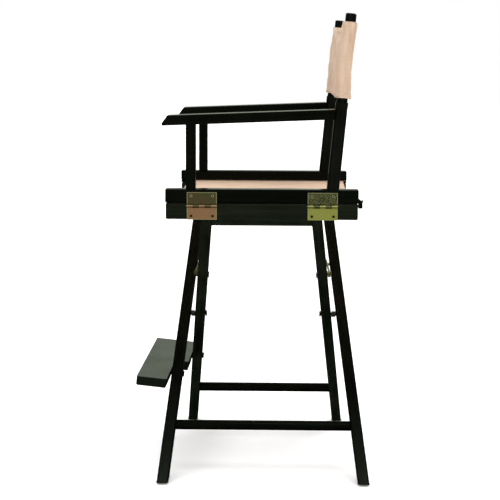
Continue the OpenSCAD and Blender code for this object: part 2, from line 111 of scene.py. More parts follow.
# Seat canvas
SEAT_SAG = 7 * MM
SEAT_RIPPLE = 0.5 * MM
SEAT_DROP_LIMIT = 3 * MM
STICK_LOOP_R = 5.25 * MM
SLOT_DEEP = 3 * MM

# Legs: their slope across the chair and along it
LEG_ANGLE = math.radians(40.2)
FRONT_SLOPE = 0.102
REAR_SLOPE = 0.1225
ARM_RISE = math.radians(2.25)

# Hinge leaves and the screws in them
HINGE_WIDE = 61 * MM
SCREW_R = 2.9 * MM
SCREW_IN = 8.5 * MM - SCREW_R


# ---- Nodes and materials ----

def linear(code):
    """The linear RGBA of an sRGB colour written as #rrggbb."""
    parts = [int(code[i:i + 2], 16) / 255 for i in (1, 3, 5)]
    return (*[c / 12.92 if c <= 0.04045 else ((c + 0.055) / 1.055) ** 2.4 for c in parts], 1.0)


def add(tree, kind, inputs=None, **settings):
    """Adds a node with its settings, and sets or links its inputs."""
    node = tree.nodes.new(kind)
    for name, value in settings.items():
        setattr(node, name, value)
    for key, value in (inputs or {}).items():
        if isinstance(value, bpy.types.NodeSocket):
            tree.links.new(value, node.inputs[key])
        else:
            node.inputs[key].default_value = value
    return node


def maths(tree, operation, a, b=0.0):
    """One arithmetic step on numbers or sockets."""
    return add(tree, "ShaderNodeMath", {0: a, 1: b}, operation=operation).outputs[0]


def colour_mix(tree, share, a, b, blend="MIX"):
    """Colour a turning into colour b as share goes from 0 to 1."""
    node = add(tree, "ShaderNodeMix", {0: share, 6: a, 7: b}, data_type="RGBA", blend_type=blend)
    return node.outputs[2]


def spread_out(tree, value, low, high, to_low, to_high):
    """Maps a value between low and high to the range to_low to to_high."""
    inputs = {"Value": value, "From Min": low, "From Max": high, "To Min": to_low, "To Max": to_high}
    return add(tree, "ShaderNodeMapRange", inputs).outputs[0]


def new_material(name, **constants):
    """A material with one Principled shader, whose plain numbers sit on its own sockets."""
    material = bpy.data.materials.new(name)
    material.use_nodes = True
    tree = material.node_tree
    tree.nodes.clear()
    shader = add(tree, "ShaderNodeBsdfPrincipled")
    for socket, value in constants.items():
        shader.inputs[socket.replace("_", " ")].default_value = value
    out = add(tree, "ShaderNodeOutputMaterial", {"Surface": shader.outputs[0]})
    out.is_active_output = True
    return material, tree, shader


def noise_at(tree, vector, size, detail=3.0, roughness=0.55):
    """Noise whose features are about size metres across."""
    inputs = {"Vector": vector, "Scale": 1 / size, "Detail": detail, "Roughness": roughness}
    return add(tree, "ShaderNodeTexNoise", inputs).outputs[0]


def black_lacquer(name, along, tint="#020302", high="#070805"):
    """Stained beech under sprayed satin lacquer: near black, with the pores just telling along the grain."""
    material, tree, shader = new_material(
        name, IOR=1.5, Specular_IOR_Level=0.07, Specular_Tint=(0.88, 1.0, 0.80, 1.0))
    turn = Vector(along).normalized().rotation_difference(Vector((0, 0, 1))).to_euler()
    place = add(tree, "ShaderNodeTexCoord").outputs["Object"]
    turned = add(tree, "ShaderNodeMapping", {"Vector": place, "Rotation": turn}).outputs[0]
    # Beech pores are 0.1 mm wide and 3 mm long; they are drawn wider so that they show
    grain = add(tree, "ShaderNodeMapping", {"Vector": turned, "Scale": (1.0, 1.0, 0.035)}).outputs[0]
    pores = noise_at(tree, grain, 1.1 * MM, 2.0)
    bands = noise_at(tree, grain, 6 * MM, 3.0)
    peel = noise_at(tree, place, 2.2 * MM, 1.0)
    cloud = noise_at(tree, place, 70 * MM, 2.0)
    shade = spread_out(tree, maths(tree, "ADD", bands, cloud), 0.8, 1.2, 0.0, 1.0)
    tree.links.new(colour_mix(tree, shade, linear(tint), linear(high)), shader.inputs["Base Color"])
    rough = spread_out(tree, maths(tree, "ADD", pores, cloud), 0.75, 1.25, 0.16, 0.28)
    tree.links.new(rough, shader.inputs["Roughness"])
    relief = maths(tree, "ADD", maths(tree, "MULTIPLY", pores, 0.6), maths(tree, "MULTIPLY", peel, 0.35))
    bump = add(tree, "ShaderNodeBump", {"Height": relief, "Strength": 0.22, "Distance": 0.12 * MM})
    tree.links.new(bump.outputs[0], shader.inputs["Normal"])
    return material


def cotton_duck(name, light="#dcc4ad", dark="#c5a58a"):
    """Plain-woven cotton duck: matt, with single threads, slubs, faint uneven dye and soft bands of painted
    fold shade.
    """
    material, tree, shader = new_material(
        name, Roughness=0.92, IOR=1.45, Sheen_Weight=0.12, Sheen_Roughness=0.45, Specular_IOR_Level=0.25)
    uv = add(tree, "ShaderNodeUVMap", uv_map="cloth").outputs[0]
    # Duck has a thread every 0.6 mm; it is drawn every 1.3 mm so that the weave shows
    threads = add(tree, "ShaderNodeMapping", {"Vector": uv, "Scale": (1 / (1.3 * MM), 1 / (1.3 * MM), 1.0)})
    parts = add(tree, "ShaderNodeSeparateXYZ", {0: threads.outputs[0]})
    warp = maths(tree, "SINE", maths(tree, "MULTIPLY", parts.outputs[0], math.pi))
    weft = maths(tree, "SINE", maths(tree, "MULTIPLY", parts.outputs[1], math.pi))
    over = maths(tree, "GREATER_THAN", maths(tree, "MULTIPLY", warp, weft), 0.0)
    warp_bulge = maths(tree, "ABSOLUTE", warp)
    weft_bulge = maths(tree, "ABSOLUTE", weft)
    warp_top = maths(tree, "MULTIPLY", warp_bulge, spread_out(tree, weft_bulge, 0, 1, 0.55, 1.0))
    weft_top = maths(tree, "MULTIPLY", weft_bulge, spread_out(tree, warp_bulge, 0, 1, 0.55, 1.0))
    weave = add(tree, "ShaderNodeMix", {0: over, 2: weft_top, 3: warp_top}, data_type="FLOAT").outputs[0]
    slub_u = add(tree, "ShaderNodeMapping", {"Vector": uv, "Scale": (1.0, 0.05, 1.0)}).outputs[0]
    slub_v = add(tree, "ShaderNodeMapping", {"Vector": uv, "Scale": (0.05, 1.0, 1.0)}).outputs[0]
    slubs = maths(tree, "ADD", noise_at(tree, slub_u, 1.6 * MM, 2.0), noise_at(tree, slub_v, 1.6 * MM, 2.0))
    cloud = noise_at(tree, uv, 60 * MM, 3.0)
    tone = maths(tree, "ADD", maths(tree, "MULTIPLY", weave, 0.34), maths(tree, "MULTIPLY", slubs, 0.45))
    tone = maths(tree, "ADD", tone, maths(tree, "MULTIPLY", cloud, 0.40))
    # Painted shade: soft lighter and darker bands drawn out along the cloth, standing in for the shading of
    # its folds.
    fold_shade_uv = add(tree, "ShaderNodeMapping", {"Vector": uv, "Scale": (1.0, 0.14, 1.0)}).outputs[0]
    bands = spread_out(tree, noise_at(tree, fold_shade_uv, 13 * MM, 2.0), 0.35, 0.65, -0.22, 0.22)
    tone = maths(tree, "ADD", tone, bands)
    share = spread_out(tree, tone, 0.55, 1.15, 0.0, 1.0)
    tree.links.new(colour_mix(tree, share, linear(dark), linear(light)), shader.inputs["Base Color"])
    relief = maths(tree, "ADD", weave, maths(tree, "MULTIPLY", slubs, 0.5))
    bump = add(tree, "ShaderNodeBump", {"Height": relief, "Strength": 0.45, "Distance": 0.25 * MM})
    tree.links.new(bump.outputs[0], shader.inputs["Normal"])
    return material


def cotton_thread(name):
    """Sewing thread: twisted cotton, a little paler than the cloth."""
    material, tree, shader = new_material(name, Roughness=0.8, Sheen_Weight=0.2)
    place = add(tree, "ShaderNodeTexCoord").outputs["Object"]
    ply = noise_at(tree, place, 0.5 * MM, 1.0)
    mixed = colour_mix(tree, ply, linear("#c8a684"), linear("#ecd8bf"))
    tree.links.new(mixed, shader.inputs["Base Color"])
    return material


def leaf_rim_highlight(tree, place, node):
    """1 along the edges of each hinge leaf of a node, where a pale highlight is painted, and 0 inside it."""
    low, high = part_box(node)
    half = HINGE_WIDE / 2
    parts = add(tree, "ShaderNodeSeparateXYZ", {0: place}).outputs
    front = maths(tree, "ABSOLUTE", maths(tree, "SUBTRACT", parts[1], low.y + half))
    rear = maths(tree, "ABSOLUTE", maths(tree, "SUBTRACT", parts[1], high.y - half))
    ends = maths(tree, "MINIMUM", front, rear)
    side = spread_out(tree, ends, half - 2.0 * MM, half - 1.0 * MM, 0.0, 1.0)
    top = spread_out(tree, parts[2], high.z - 1.6 * MM, high.z - 0.8 * MM, 0.0, 1.0)
    bottom = spread_out(tree, parts[2], low.z + 1.6 * MM, low.z + 0.8 * MM, 0.0, 1.0)
    return maths(tree, "MAXIMUM", side, maths(tree, "MAXIMUM", top, bottom))


def yellow_zinc(name, front, rear, node=None, speckle=0.25, bloom=None):
    """Pressed steel, zinc plated and passivated yellow: dull metal whose tint drifts from leaf to leaf."""
    material, tree, shader = new_material(name, Metallic=1.0)
    place = add(tree, "ShaderNodeTexCoord").outputs["Object"]
    depth = add(tree, "ShaderNodeSeparateXYZ", {0: place}).outputs[1]
    low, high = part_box("left_lower_rail")
    middle = (low.y + high.y) / 2
    side = spread_out(tree, depth, middle - 0.03, middle + 0.03, 0.0, 1.0)
    base = colour_mix(tree, side, linear(front), linear(rear))
    stain = spread_out(tree, noise_at(tree, place, 16 * MM, 2.0), 0.42, 0.62, 0.0, 0.55)
    front_bloom = maths(tree, "MULTIPLY", stain, maths(tree, "SUBTRACT", 1.0, side))
    if bloom:
        base = colour_mix(tree, front_bloom, base, linear(bloom))
    grit_share = spread_out(tree, noise_at(tree, place, 2.4 * MM, 3.0), 0.42, 0.56, 0.0, 1.0)
    rear_grit = spread_out(tree, side, 0.0, 1.0, 0.15, 1.0)
    grit = maths(tree, "MULTIPLY", maths(tree, "MULTIPLY", grit_share, speckle), rear_grit)
    base = colour_mix(tree, grit, base, linear("#23241a"))
    if node:
        # Painted highlight: a pale band round the edge of each leaf, where its rounded edge would catch the
        # light.
        rim_highlight = leaf_rim_highlight(tree, place, node)
        base = colour_mix(tree, maths(tree, "MULTIPLY", rim_highlight, 0.75), base, linear("#e2dfae"))
        # Painted highlight: a faint pale band along the knuckles, at the height of the hinge pin.
        pin_low, pin_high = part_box(node.split("_")[0] + "_hinge_pins")
        up = add(tree, "ShaderNodeSeparateXYZ", {0: place}).outputs[2]
        off_pin = maths(tree, "ABSOLUTE", maths(tree, "SUBTRACT", up, (pin_low.z + pin_high.z) / 2))
        knuckle_highlight = spread_out(tree, off_pin, 1.0 * MM, 1.9 * MM, 0.12, 0.0)
        base = colour_mix(tree, knuckle_highlight, base, linear("#f4f2c0"))
    tree.links.new(base, shader.inputs["Base Color"])
    rough = spread_out(tree, noise_at(tree, place, 4 * MM, 3.0), 0.3, 0.7, 0.34, 0.5)
    tree.links.new(rough, shader.inputs["Roughness"])
    height = noise_at(tree, place, 1.2 * MM, 2.0)
    bump = add(tree, "ShaderNodeBump", {"Height": height, "Strength": 0.18, "Distance": 0.15 * MM})
    tree.links.new(bump.outputs[0], shader.inputs["Normal"])
    return material


def screw_zinc(name, node, screw_rim_highlight, middle):
    """A countersunk screw head: a painted highlight round its edge and painted shade in its recess."""
    material, tree, shader = new_material(name, Metallic=1.0, Roughness=0.4)
    place = add(tree, "ShaderNodeTexCoord").outputs["Object"]
    low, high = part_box(node)
    parts = add(tree, "ShaderNodeSeparateXYZ", {0: place}).outputs
    up = maths(tree, "ABSOLUTE", maths(tree, "SUBTRACT", parts[2], (low.z + high.z) / 2))
    near = None
    for y in (low.y + SCREW_R, low.y - SCREW_R + HINGE_WIDE - 2 * SCREW_IN,
              high.y + SCREW_R - HINGE_WIDE + 2 * SCREW_IN, high.y - SCREW_R):
        away = maths(tree, "ABSOLUTE", maths(tree, "SUBTRACT", parts[1], y))
        near = maths(tree, "MINIMUM", near, away) if near else away
    square = maths(tree, "ADD", maths(tree, "MULTIPLY", up, up), maths(tree, "MULTIPLY", near, near))
    radius = maths(tree, "SQRT", square)
    # Painted highlight and painted shade: the pale colour round the head's edge, the dark middle colour in
    # its recess.
    edge = spread_out(tree, radius, 1.3 * MM, 2.0 * MM, 0.0, 1.0)
    mixed = colour_mix(tree, edge, linear(middle), linear(screw_rim_highlight))
    cloud = spread_out(tree, noise_at(tree, place, 2 * MM, 2.0), 0.4, 0.6, 0.0, 0.3)
    tree.links.new(colour_mix(tree, cloud, mixed, linear("#4a4a38")), shader.inputs["Base Color"])
    return material


def dull_nickel(name, dark="#6c6b60", light="#a9a898", metallic=1.0):
    """Nickel-plated pressed steel, dulled by handling. A metallic below 1 makes it less of a mirror; on the
    glides this, with a pale base, is a painted reflection of the overhead light.
    """
    material, tree, shader = new_material(name, Metallic=metallic)
    place = add(tree, "ShaderNodeTexCoord").outputs["Object"]
    cloud = noise_at(tree, place, 5 * MM, 4.0)
    tree.links.new(colour_mix(tree, cloud, linear(dark), linear(light)), shader.inputs["Base Color"])
    tree.links.new(spread_out(tree, cloud, 0.3, 0.7, 0.24, 0.42), shader.inputs["Roughness"])
    scratches = add(tree, "ShaderNodeMapping", {"Vector": place, "Scale": (1.0, 0.06, 1.0)}).outputs[0]
    height = noise_at(tree, scratches, 0.6 * MM, 1.0)
    bump = add(tree, "ShaderNodeBump", {"Height": height, "Strength": 0.12, "Distance": 0.05 * MM})
    tree.links.new(bump.outputs[0], shader.inputs["Normal"])
    return material


def black_oxide(name):
    """Steel bolts blackened in an oxide bath: dark, slightly oily metal."""
    material, tree, shader = new_material(name, Metallic=0.85)
    place = add(tree, "ShaderNodeTexCoord").outputs["Object"]
    cloud = noise_at(tree, place, 3 * MM, 3.0)
    mixed = colour_mix(tree, cloud, linear("#0b0c0b"), linear("#1d1e1b"))
    tree.links.new(mixed, shader.inputs["Base Color"])
    tree.links.new(spread_out(tree, cloud, 0.3, 0.7, 0.28, 0.45), shader.inputs["Roughness"])
    return material


def bare_dowel(name):
    """Unfinished birch dowel: pale, matt, with fine streaks along it."""
    material, tree, shader = new_material(name, Roughness=0.7)
    place = add(tree, "ShaderNodeTexCoord").outputs["Object"]
    streaks = add(tree, "ShaderNodeMapping", {"Vector": place, "Scale": (1.0, 0.03, 1.0)}).outputs[0]
    fibre = noise_at(tree, streaks, 0.9 * MM, 3.0)
    mixed = colour_mix(tree, fibre, linear("#a87c4e"), linear("#d9b98c"))
    tree.links.new(mixed, shader.inputs["Base Color"])
    bump = add(tree, "ShaderNodeBump", {"Height": fibre, "Strength": 0.2, "Distance": 0.1 * MM})
    tree.links.new(bump.outputs[0], shader.inputs["Normal"])
    return material


def leg_direction(foot_side, slope):
    """The direction up a leg whose foot stands on the side foot_side and which leans by slope."""
    return (-foot_side * math.tan(LEG_ANGLE), slope, 1.0)


# Painted light: the inner legs, top rails, lower rails, back posts and footrest get lighter copies of the
# one black lacquer, standing in for the light that falls on them; the inner legs' faces tilt down towards
# the white floor.
INNER_LEG_PAINTED_LIGHT = {"tint": "#090d07", "high": "#141810"}
LACQUER = {
    "outer_front_leg": black_lacquer("lacquer_outer_front_leg", leg_direction(1, FRONT_SLOPE)),
    "outer_rear_leg": black_lacquer("lacquer_outer_rear_leg", leg_direction(1, -REAR_SLOPE)),
    "inner_front_leg": black_lacquer(
        "lacquer_inner_front_leg", leg_direction(-1, FRONT_SLOPE), **INNER_LEG_PAINTED_LIGHT),
    "inner_rear_leg": black_lacquer(
        "lacquer_inner_rear_leg", leg_direction(-1, -REAR_SLOPE), **INNER_LEG_PAINTED_LIGHT),
    "long_rail": black_lacquer("lacquer_rail", (0, 1, 0)),
    "top_rail": black_lacquer("lacquer_top_rail", (0, 1, 0), tint="#0e120b", high="#181d14"),
    "lower_rail": black_lacquer("lacquer_lower_rail", (0, 1, 0), tint="#10140d", high="#191d14"),
    "armrest": black_lacquer("lacquer_armrest", (0, 1, math.tan(ARM_RISE))),
    "front_post": black_lacquer("lacquer_front_post", (0, 0, 1)),
    "back_post": black_lacquer(
        "lacquer_back_post", (0, math.tan(POLE_LEAN), 1), tint="#080907", high="#10110e"),
    "footrest": black_lacquer("lacquer_footrest", (1, 0, 0), tint="#090d07", high="#11160e"),
}
DUCK_CLOTH = cotton_duck("cotton_duck")
SEWING_THREAD = cotton_thread("cotton_thread")
LEAF_ZINC = {
    "upper": {
        side: yellow_zinc(f"yellow_zinc_{side}_upper_leaves", "#77714e", "#a3a172",
                          f"{side}_upper_hinge_leaves", 0.85, "#8c6657")
        for side in ("left", "right")},
    "lower": {
        side: yellow_zinc(f"yellow_zinc_{side}_lower_leaves", "#dba483", "#e2e07e",
                          f"{side}_lower_hinge_leaves", 0.12, "#d6a57c")
        for side in ("left", "right")},
}
FITTING_ZINC = yellow_zinc("yellow_zinc_fittings", "#77764e", "#b5b57e", speckle=0.5)
NICKEL = dull_nickel("dull_nickel")
# Painted reflection: the glides are a pale, mostly non-metal grey, standing in for the overhead light
# reflected in their nickel.
GLIDE_PAINTED_REFLECTION = dull_nickel("glide_painted_reflection", "#a4a897", "#cdd0c3", 0.15)
SPACER_NICKEL = dull_nickel("spacer_nickel", "#3a3f37", "#5d6156")
OXIDE = black_oxide("black_oxide_bolts")
DOWEL = bare_dowel("bare_dowel")


# ---- Wooden and metal pieces, refined from the frame's own shapes ----

def smooth_shaded(mesh, sharp_over=36):
    """Shades a mesh smooth, but for edges that turn by more than sharp_over degrees."""
    mesh.shade_smooth()
    mesh.set_sharp_from_angle(angle=math.radians(sharp_over))


def round_over(mesh, edges, radius, segments, clamp=True):
    """Rounds edges over to a radius."""
    bmesh.ops.bevel(
        mesh, geom=edges, offset=radius, offset_type="OFFSET", segments=segments, profile=0.5,
        affect="EDGES", clamp_overlap=clamp, miter_outer="SHARP")


def middle_of(edge):
    return (edge.verts[0].co + edge.verts[1].co) / 2


def rail_ends(low, high):
    """Picks the edges round the two end faces of a rail, but not those of its bores and slots."""
    near = 3.2 * MM

    def picked(edge):
        p = middle_of(edge)
        outside = min(p.x - low.x, high.x - p.x, p.z - low.z, high.z - p.z) < near
        return outside and any(abs(f.normal.y) > 0.95 for f in edge.link_faces)
    return picked


def board_underside(low, high):
    """Picks the lower edges of the footrest along its front, its near end and its narrow part."""
    def picked(edge):
        p = middle_of(edge)
        return (p.y < low.y + 40 * MM or p.x > 40 * MM) and any(f.normal.z < -0.9 for f in edge.link_faces)
    return picked


def eased(node, radius, material, segments=3, pick=None, wide=0.0):
    """A copy of a node with its sharp edges eased to a radius, and the picked ones to a wide radius."""
    mesh = bmesh.new()
    mesh.from_mesh(frame["nodes"][node].data)
    bmesh.ops.remove_doubles(mesh, verts=mesh.verts, dist=1e-6)
    bmesh.ops.dissolve_limit(
        mesh, angle_limit=FLAT_ANGLE, verts=mesh.verts, edges=mesh.edges,
        use_dissolve_boundaries=False)

    def sharp_edges():
        return [e for e in mesh.edges if len(e.link_faces) == 2 and e.calc_face_angle() > CORNER_ANGLE]

    if pick:
        picked = pick(*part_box(node))
        round_over(mesh, [e for e in sharp_edges() if picked(e)], wide, 4, clamp=False)
    round_over(mesh, sharp_edges(), radius, segments)
    bmesh.ops.remove_doubles(mesh, verts=mesh.verts, dist=2e-6)
    data = bpy.data.meshes.new(f"eased_{node}")
    mesh.to_mesh(data)
    mesh.free()
    smooth_shaded(data)
    data.materials.append(material)
    piece = bpy.data.objects.new(f"eased_{node}", data)
    bpy.context.scene.collection.objects.link(piece)
    weighted = piece.modifiers.new("Flat faces", "WEIGHTED_NORMAL")
    weighted.keep_sharp = True
    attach(piece, frame["nodes"][node]["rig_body"])
    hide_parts(node)
    return piece


def finish_node(node, material):
    """Gives a node that keeps its own shape its finish."""
    data = frame["nodes"][node].data
    data.materials.clear()
    data.materials.append(material)


def make_woodwork():
    """Eases and lacquers the legs, rails, posts, arms, stop block and footrest. The sticks stay bare."""
    for leg in ("outer_front_leg", "outer_rear_leg", "inner_front_leg", "inner_rear_leg"):
        eased(leg, 1.2 * MM, LACQUER[leg], 2)
    for frame_name in ("outer", "inner"):
        eased(f"{frame_name}_top_rail", 1.0 * MM, LACQUER["top_rail"], 2)
        eased(f"{frame_name}_stretcher", 1.0 * MM, LACQUER["long_rail"], 2)
    for side in ("left", "right"):
        eased(f"{side}_lower_rail", 0.8 * MM, LACQUER["lower_rail"],
              pick=rail_ends, wide=2.8 * MM)
        eased(f"{side}_seat_rail", 0.6 * MM, LACQUER["long_rail"],
              pick=rail_ends, wide=2.2 * MM)
        eased(f"{side}_armrest", 2.0 * MM, LACQUER["armrest"])
        eased(f"{side}_front_post", 0.6 * MM, LACQUER["front_post"], 2)
        eased(f"{side}_back_post", 0.8 * MM, LACQUER["back_post"], 2)
        finish_node(f"{side}_arm_plugs", LACQUER["armrest"])
        finish_node(f"{side}_seat_stick", DOWEL)
    eased("left_stick_stop", 0.7 * MM, LACQUER["front_post"], 2)
    eased("footrest", 1.6 * MM, LACQUER["footrest"],
          pick=board_underside, wide=3.6 * MM)


def make_hardware():
    """Finishes the hinges, straps, bolts, pegs, screws and glides."""
    for side in ("left", "right"):
        # Per level, the screw heads' painted highlight colour and painted shade colour.
        for level, screw_rim_highlight, middle in (("upper", "#e6e3c0", "#33321f"), ("lower", "#6d5d3c", "#1c1a12")):
            leaves, screws = f"{side}_{level}_hinge_leaves", f"{side}_{level}_screws"
            eased(leaves, 0.35 * MM, LEAF_ZINC[level][side], 2)
            finish_node(screws, screw_zinc(f"zinc_{screws}", screws, screw_rim_highlight, middle))
        finish_node(f"{side}_hinge_pins", NICKEL)
    for strap in ("front_lock_strap", "rear_lock_strap"):
        eased(strap, 0.5 * MM, FITTING_ZINC, 2)
    for node in ("strap_pegs", "strap_nuts"):
        finish_node(node, FITTING_ZINC)
    for node in ("pivot_bolts", "strap_bolts", "footrest_bolt", "footrest_peg"):
        finish_node(node, OXIDE)
    finish_node("pivot_spacers", SPACER_NICKEL)
    finish_node("left_stop_screw", NICKEL)
    for node in ("outer_glides", "inner_glides"):
        finish_node(node, GLIDE_PAINTED_REFLECTION)


# ---- Canvas ----

def steps_with_hems(length, hem, count):
    """Places from 0 to length, close together at each hem's inner edge so that the hem ends in a step."""
    edge = 0.5 * MM
    inner = [hem + edge + (length - 2 * (hem + edge)) * i / count for i in range(count + 1)]
    start = [0.0, hem * 0.5, hem - edge]
    return start + inner + [length - x for x in reversed(start)]


def cloth_grid(name, points, across, along, hem_width):
    """A sheet on a grid of points[i][j], where across and along give the flat cloth's own places."""
    rows, columns = len(points), len(points[0])
    vertices = [p for row in points for p in row]
    faces = [
        (i * columns + j, (i + 1) * columns + j, (i + 1) * columns + j + 1, i * columns + j + 1)
        for i in range(rows - 1) for j in range(columns - 1)
    ]
    data = bpy.data.meshes.new(name)
    data.from_pydata(vertices, [], faces)
    layer = data.uv_layers.new(name="cloth")
    for loop in data.loops:
        i, j = divmod(loop.vertex_index, columns)
        layer.data[loop.index].uv = (across[i], along[j])
    data.materials.append(DUCK_CLOTH)
    piece = bpy.data.objects.new(name, data)
    bpy.context.scene.collection.objects.link(piece)
    hem = piece.vertex_groups.new(name="hem")
    for j, place in enumerate(along):
        inside_hem = place < hem_width or place > along[-1] - hem_width
        hem.add([i * columns + j for i in range(rows)], 1.0 if inside_hem else 0.0, "REPLACE")
    return piece


def settle(piece, pinned, limit, slack):
    """Lets a sheet hang under its own weight from its pinned points. No point moves more than limit.

    Most of the seat's points reach the limit, so its drawn sag sets more of its shape than this does.
    """
    scene = bpy.context.scene
    group = piece.vertex_groups.new(name="pinned")
    group.add(pinned, 1.0, "REPLACE")
    start = [v.co.copy() for v in piece.data.vertices]
    cloth = piece.modifiers.new("Cloth", "CLOTH")
    cloth.settings.quality = 8
    cloth.settings.mass = 0.5
    cloth.settings.tension_stiffness = 60
    cloth.settings.compression_stiffness = 40
    cloth.settings.shear_stiffness = 30
    cloth.settings.bending_stiffness = 6
    cloth.settings.tension_damping = 25
    cloth.settings.air_damping = 4
    cloth.settings.shrink_min = -slack
    cloth.settings.vertex_group_mass = "pinned"
    cloth.point_cache.frame_end = SETTLE_FRAMES
    for step in range(1, SETTLE_FRAMES + 1):
        scene.frame_set(step)
    hung = piece.evaluated_get(bpy.context.evaluated_depsgraph_get())
    moved = [v.co.copy() for v in hung.data.vertices]
    piece.modifiers.remove(cloth)
    piece.vertex_groups.remove(group)
    scene.frame_set(1)
    for vertex, a, b in zip(piece.data.vertices, start, moved):
        way = b - a
        vertex.co = a + way * min(1.0, limit / max(way.length, 1e-9))
    piece.data.update()


def thicken(piece):
    """Gives the cloth its thickness, more at the folded hems, as plain mesh that a squash can flatten."""
    smooth_shaded(piece.data, 80)
    solid = piece.modifiers.new("Cloth thickness", "SOLIDIFY")
    solid.thickness = HEM_THICK
    solid.offset = 0
    solid.vertex_group = "hem"
    solid.thickness_vertex_group = DUCK / HEM_THICK
    solid.use_even_offset = True
    shown = piece.evaluated_get(bpy.context.evaluated_depsgraph_get())
    thick = bpy.data.meshes.new_from_object(shown)
    piece.modifiers.clear()
    piece.data = thick
    return piece


def stitch_tree():
    """Geometry Nodes: short thread beads along a line, with their pitch, length and width as inputs."""
    tree = bpy.data.node_groups.new("Stitches along a line", "GeometryNodeTree")
    face = tree.interface
    sockets = {"line": face.new_socket("Line", in_out="INPUT", socket_type="NodeSocketGeometry")}
    for key in ("Pitch", "Length", "Thread"):
        sockets[key] = face.new_socket(key, in_out="INPUT", socket_type="NodeSocketFloat").identifier
    finish = face.new_socket("Finish", in_out="INPUT", socket_type="NodeSocketMaterial")
    sockets["Finish"] = finish.identifier
    face.new_socket("Stitches", in_out="OUTPUT", socket_type="NodeSocketGeometry")
    given = add(tree, "NodeGroupInput").outputs
    curve = add(tree, "GeometryNodeMeshToCurve", {0: given["Line"]}).outputs[0]
    spacing = {"Curve": curve, "Length": given["Pitch"]}
    points = add(tree, "GeometryNodeCurveToPoints", spacing, mode="LENGTH")
    bead = add(tree, "GeometryNodeMeshUVSphere", {"Segments": 6, "Rings": 4, "Radius": 0.5}).outputs[0]
    size = add(tree, "ShaderNodeCombineXYZ", {0: given["Thread"], 1: given["Thread"], 2: given["Length"]})
    inputs = {"Points": points.outputs[0], "Instance": bead, "Rotation": points.outputs["Rotation"],
              "Scale": size.outputs[0]}
    beads = add(tree, "GeometryNodeInstanceOnPoints", inputs).outputs[0]
    real = add(tree, "GeometryNodeRealizeInstances", {0: beads}).outputs[0]
    painted = add(tree, "GeometryNodeSetMaterial", {"Geometry": real, "Material": given["Finish"]})
    add(tree, "NodeGroupOutput", {0: painted.outputs[0]})
    return tree, sockets


STITCH_TREE, STITCH_SOCKETS = stitch_tree()


def stitches(name, lines):
    """One piece holding the stitches along each line of points."""
    vertices = [p for line in lines for p in line]
    edges, start = [], 0
    for line in lines:
        edges += [(start + k, start + k + 1) for k in range(len(line) - 1)]
        start += len(line)
    data = bpy.data.meshes.new(f"{name}_lines")
    data.from_pydata(vertices, edges, [])
    holder = bpy.data.objects.new(f"{name}_lines", data)
    bpy.context.scene.collection.objects.link(holder)
    made = holder.modifiers.new("Stitches", "NODES")
    made.node_group = STITCH_TREE
    made[STITCH_SOCKETS["Pitch"]] = STITCH_PITCH
    made[STITCH_SOCKETS["Length"]] = STITCH_LONG
    made[STITCH_SOCKETS["Thread"]] = THREAD
    made[STITCH_SOCKETS["Finish"]] = SEWING_THREAD
    shown = holder.evaluated_get(bpy.context.evaluated_depsgraph_get())
    sewn = bpy.data.meshes.new_from_object(shown)
    bpy.data.objects.remove(holder)
    sewn.shade_smooth()
    piece = bpy.data.objects.new(name, sewn)
    bpy.context.scene.collection.objects.link(piece)
    return piece


def row_along(piece, columns, j, side, lift):
    """The line of a grid's points at place j, lifted off the cloth on one side."""
    data = piece.data
    rows = len(data.vertices) // columns
    return [
        data.vertices[i * columns + j].co + data.vertices[i * columns + j].normal * side * lift
        for i in range(rows)
    ]


def hem_rows(piece, along, hem, lift):
    """The two seam lines of a sheet with a hem at each edge, on both faces."""
    columns = len(along)
    near = min(range(columns), key=lambda j: abs(along[j] - hem * 0.75))
    far = min(range(columns), key=lambda j: abs(along[j] - (along[-1] - hem * 0.75)))
    return [row_along(piece, columns, j, side, lift) for j in (near, far) for side in (-1, 1)]


def wander(x, y, size, seed):
    """A smooth, fixed waviness between -1 and 1 with waves about size metres long."""
    return noise.noise(Vector((x / size, y / size, seed)))


def make_seat():
    """The seat canvas: a sheet across the rails, and a loop round each stick in its bore."""
    low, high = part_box("seat_canvas")
    rail_low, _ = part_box("left_seat_rail")
    stick_low, stick_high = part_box("left_seat_stick")
    slot_x = rail_low.x + SLOT_DEEP
    edge_z = high.z - 0.5 * (high.z - low.z - SEAT_SAG)
    deep = high.y - low.y
    along = steps_with_hems(deep, SEAT_HEM, SEAT_ROWS)
    across, points = [], []
    for i in range(SEAT_COLUMNS + 1):
        u = 2 * i / SEAT_COLUMNS - 1
        across.append((u + 1) * slot_x)
        dip = SEAT_SAG * (1 - u * u)
        points.append([
            Vector((u * slot_x, low.y + y, edge_z - dip
                    + SEAT_RIPPLE * (1 - u ** 4) * wander(u * slot_x, y, 0.07, 3.1)))
            for y in along
        ])
    sheet = cloth_grid("seat_sheet", points, across, along, SEAT_HEM)
    columns = len(along)
    ends = [i * columns + j for i in (0, SEAT_COLUMNS) for j in range(columns)]
    settle(sheet, ends, limit=SEAT_DROP_LIMIT, slack=0.001)
    # Folded, the sheet ends at the face of the right rail
    seams = stitches("seat_stitches", hem_rows(sheet, along, SEAT_HEM, HEM_THICK / 2))
    thicken(sheet)
    for piece in (sheet, seams):
        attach(piece, "left_arm")
        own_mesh(piece)
    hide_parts("seat_canvas")
    stick_x = (stick_low.x + stick_high.x) / 2
    stick_z = (stick_low.z + stick_high.z) / 2
    for side, body in ((1, "left_arm"), (-1, "right_arm")):
        make_stick_loop(side, body, slot_x, edge_z, stick_x, stick_z, low.y, along)


